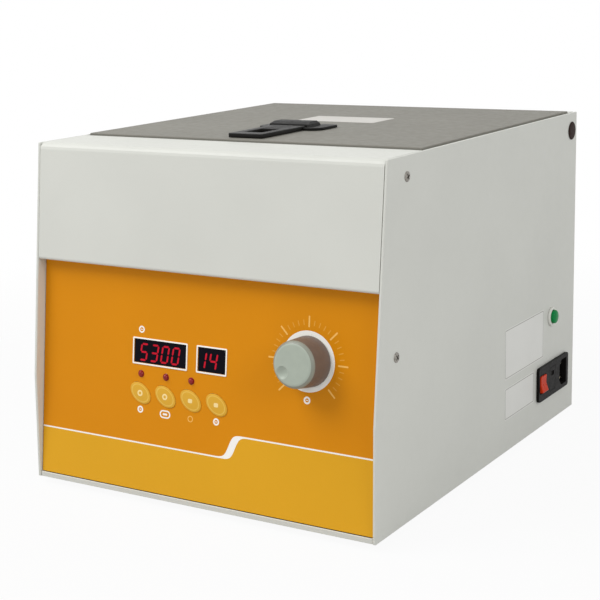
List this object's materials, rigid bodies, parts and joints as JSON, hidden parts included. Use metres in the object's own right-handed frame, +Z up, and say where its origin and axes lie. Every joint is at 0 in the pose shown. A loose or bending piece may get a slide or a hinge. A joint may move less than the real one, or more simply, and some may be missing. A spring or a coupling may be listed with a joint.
{
  "type": "bench centrifuge",
  "caption": "Bench-top laboratory centrifuge: painted sheet steel case with a leaning control fascia, hinged lid with slide latch, angle rotor in a bowl, and a mains inlet on its side",
  "frame": {"origin": "On the bench, under the middle of the whole object, level with the undersides of the feet", "axes": "+Z up, -Y to the front with the control fascia, +X to the side with the mains inlet"},
  "size_m": [0.3386, 0.4086, 0.299],
  "materials": {
    "case_paint": "satin",
    "lid_paint": "satin",
    "overlay_print": "satin",
    "sheet_steel": "satin",
    "spun_steel": "satin",
    "cast_aluminium": "satin",
    "turned_steel": "polished",
    "motor_paint": "matte",
    "black_rubber": "matte",
    "black_plastic": "satin",
    "knob_plastic": "satin",
    "key_film": "satin",
    "led_lens": "gloss",
    "display_glass": "gloss",
    "circuit_board": "satin",
    "rocker_red": "gloss",
    "reset_green": "gloss",
    "bezel_plastic": "satin",
    "pin_brass": "polished"
  },
  "bodies": {
    "case": {"base_plate": "case_paint", "foot_front_left": "black_rubber", "foot_front_right": "black_rubber", "foot_rear_left": "black_rubber", "foot_rear_right": "black_rubber", "side_panel_left": "case_paint", "side_panel_right": "case_paint", "front_cowl": "case_paint", "rear_panel": "case_paint", "top_deck": "sheet_steel", "fascia_panel": "case_paint", "fascia_overlay": "overlay_print", "speed_display": "display_glass", "time_display": "display_glass", "status_led_1": "led_lens", "status_led_2": "led_lens", "status_led_3": "led_lens", "control_board": "circuit_board", "speed_potentiometer": "sheet_steel", "power_inlet": "black_plastic", "inlet_pin_earth": "pin_brass", "inlet_pin_line": "pin_brass", "inlet_pin_neutral": "pin_brass", "reset_breaker": "black_plastic", "reset_bezel": "bezel_plastic", "hinge_pin_left": "turned_steel", "hinge_pin_right": "turned_steel", "hinge_cap_left": "black_plastic", "hinge_cap_right": "black_plastic", "rotor_bowl": "spun_steel", "bowl_gasket": "black_rubber", "motor": "motor_paint", "motor_plate": "sheet_steel", "motor_buffer_front_left": "black_rubber", "motor_buffer_front_right": "black_rubber", "motor_buffer_rear_left": "black_rubber", "motor_buffer_rear_right": "black_rubber", "spindle_boot": "black_rubber", "drive_board": "circuit_board"},
    "lid": {"lid_panel": "lid_paint", "lid_liner": "sheet_steel", "lid_strip": "case_paint", "hinge_arm_left": "sheet_steel", "hinge_arm_right": "sheet_steel", "latch_bridge": "black_plastic"},
    "latch": {"latch_slide": "black_plastic", "latch_bolt": "turned_steel"},
    "knob": {"speed_knob": "knob_plastic", "knob_shaft": "turned_steel"},
    "key_start": {"start_key": "key_film"},
    "key_stop": {"stop_key": "key_film"},
    "key_down": {"down_key": "key_film"},
    "key_up": {"up_key": "key_film"},
    "rocker": {"power_rocker": "rocker_red"},
    "drawer": {"fuse_drawer": "black_plastic"},
    "reset": {"reset_button": "reset_green"},
    "rotor": {"rotor_head": "cast_aluminium", "rotor_nut": "black_plastic", "motor_spindle": "turned_steel"}
  },
  "joints": [
    {"name": "lid_hinge", "type": "hinge", "parent": "case", "child": "lid", "pos_m": [0, 0.19107, 0.2746], "axis": [-1, 0, 0], "range_deg": [0, 95]},
    {"name": "latch_travel", "type": "slide", "parent": "lid", "child": "latch", "axis": [0, -1, 0], "range_m": [0, 0.012]},
    {"name": "knob_turn", "type": "hinge", "parent": "case", "child": "knob", "pos_m": [0.1002, -0.17888, 0.13596], "axis": [0, -0.9925, 0.1219], "range_deg": [-263, 7]},
    {"name": "start_key_press", "type": "slide", "parent": "case", "child": "key_start", "axis": [0, 0.9925, -0.1219], "range_m": [0, 0.0005], "stiffness_N_per_m": 600},
    {"name": "stop_key_press", "type": "slide", "parent": "case", "child": "key_stop", "axis": [0, 0.9925, -0.1219], "range_m": [0, 0.0005], "stiffness_N_per_m": 600},
    {"name": "down_key_press", "type": "slide", "parent": "case", "child": "key_down", "axis": [0, 0.9925, -0.1219], "range_m": [0, 0.0005], "stiffness_N_per_m": 600},
    {"name": "up_key_press", "type": "slide", "parent": "case", "child": "key_up", "axis": [0, 0.9925, -0.1219], "range_m": [0, 0.0005], "stiffness_N_per_m": 600},
    {"name": "rocker_tip", "type": "hinge", "parent": "case", "child": "rocker", "pos_m": [0.1655, 0.12207, 0.0484], "axis": [0, 1, 0], "range_deg": [0, 16]},
    {"name": "drawer_pull", "type": "slide", "parent": "case", "child": "drawer", "axis": [1, 0, 0], "range_m": [0, 0.018]},
    {"name": "reset_press", "type": "slide", "parent": "case", "child": "reset", "axis": [-1, 0, 0], "range_m": [0, 0.0015], "stiffness_N_per_m": 400},
    {"name": "rotor_spin", "type": "hinge", "parent": "case", "child": "rotor", "pos_m": [0, 0.01808, 0.19], "axis": [0, 0, 1], "continuous": true}
  ]
}
